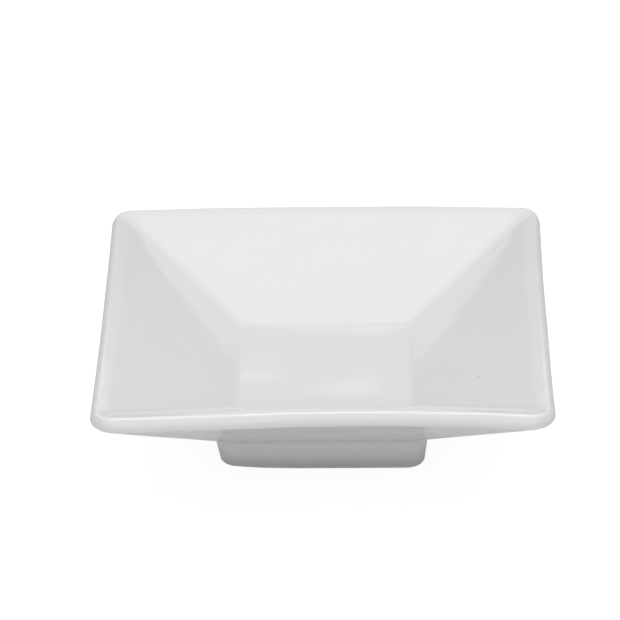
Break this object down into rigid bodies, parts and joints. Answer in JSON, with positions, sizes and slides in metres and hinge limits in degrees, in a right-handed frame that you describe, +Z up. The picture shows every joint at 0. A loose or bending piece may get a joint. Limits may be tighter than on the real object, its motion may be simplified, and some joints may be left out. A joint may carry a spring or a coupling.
{
  "type": "square bowl",
  "caption": "Shallow square bowl in white glazed porcelain: four flat sloping walls, a thick rounded lip, a small flat floor and a hollow square foot ring.",
  "frame": {"origin": "on the table, under the middle of the rim", "axes": "+Z up out of the bowl, -Y towards the side that the picture shows in front, +X to the right"},
  "size_m": [0.11, 0.11, 0.0323],
  "materials": {
    "porcelain": "fired bare porcelain, fine matte grain, ground smooth on the standing edge",
    "glaze": "glossy white glaze, faintly wavy, pooled in the turns"
  },
  "bodies": {
    "root": {"bowl_body": "porcelain", "foot_ring": "porcelain", "glaze_coat": "glaze", "recess_glaze": "glaze"}
  },
  "joints": []
}
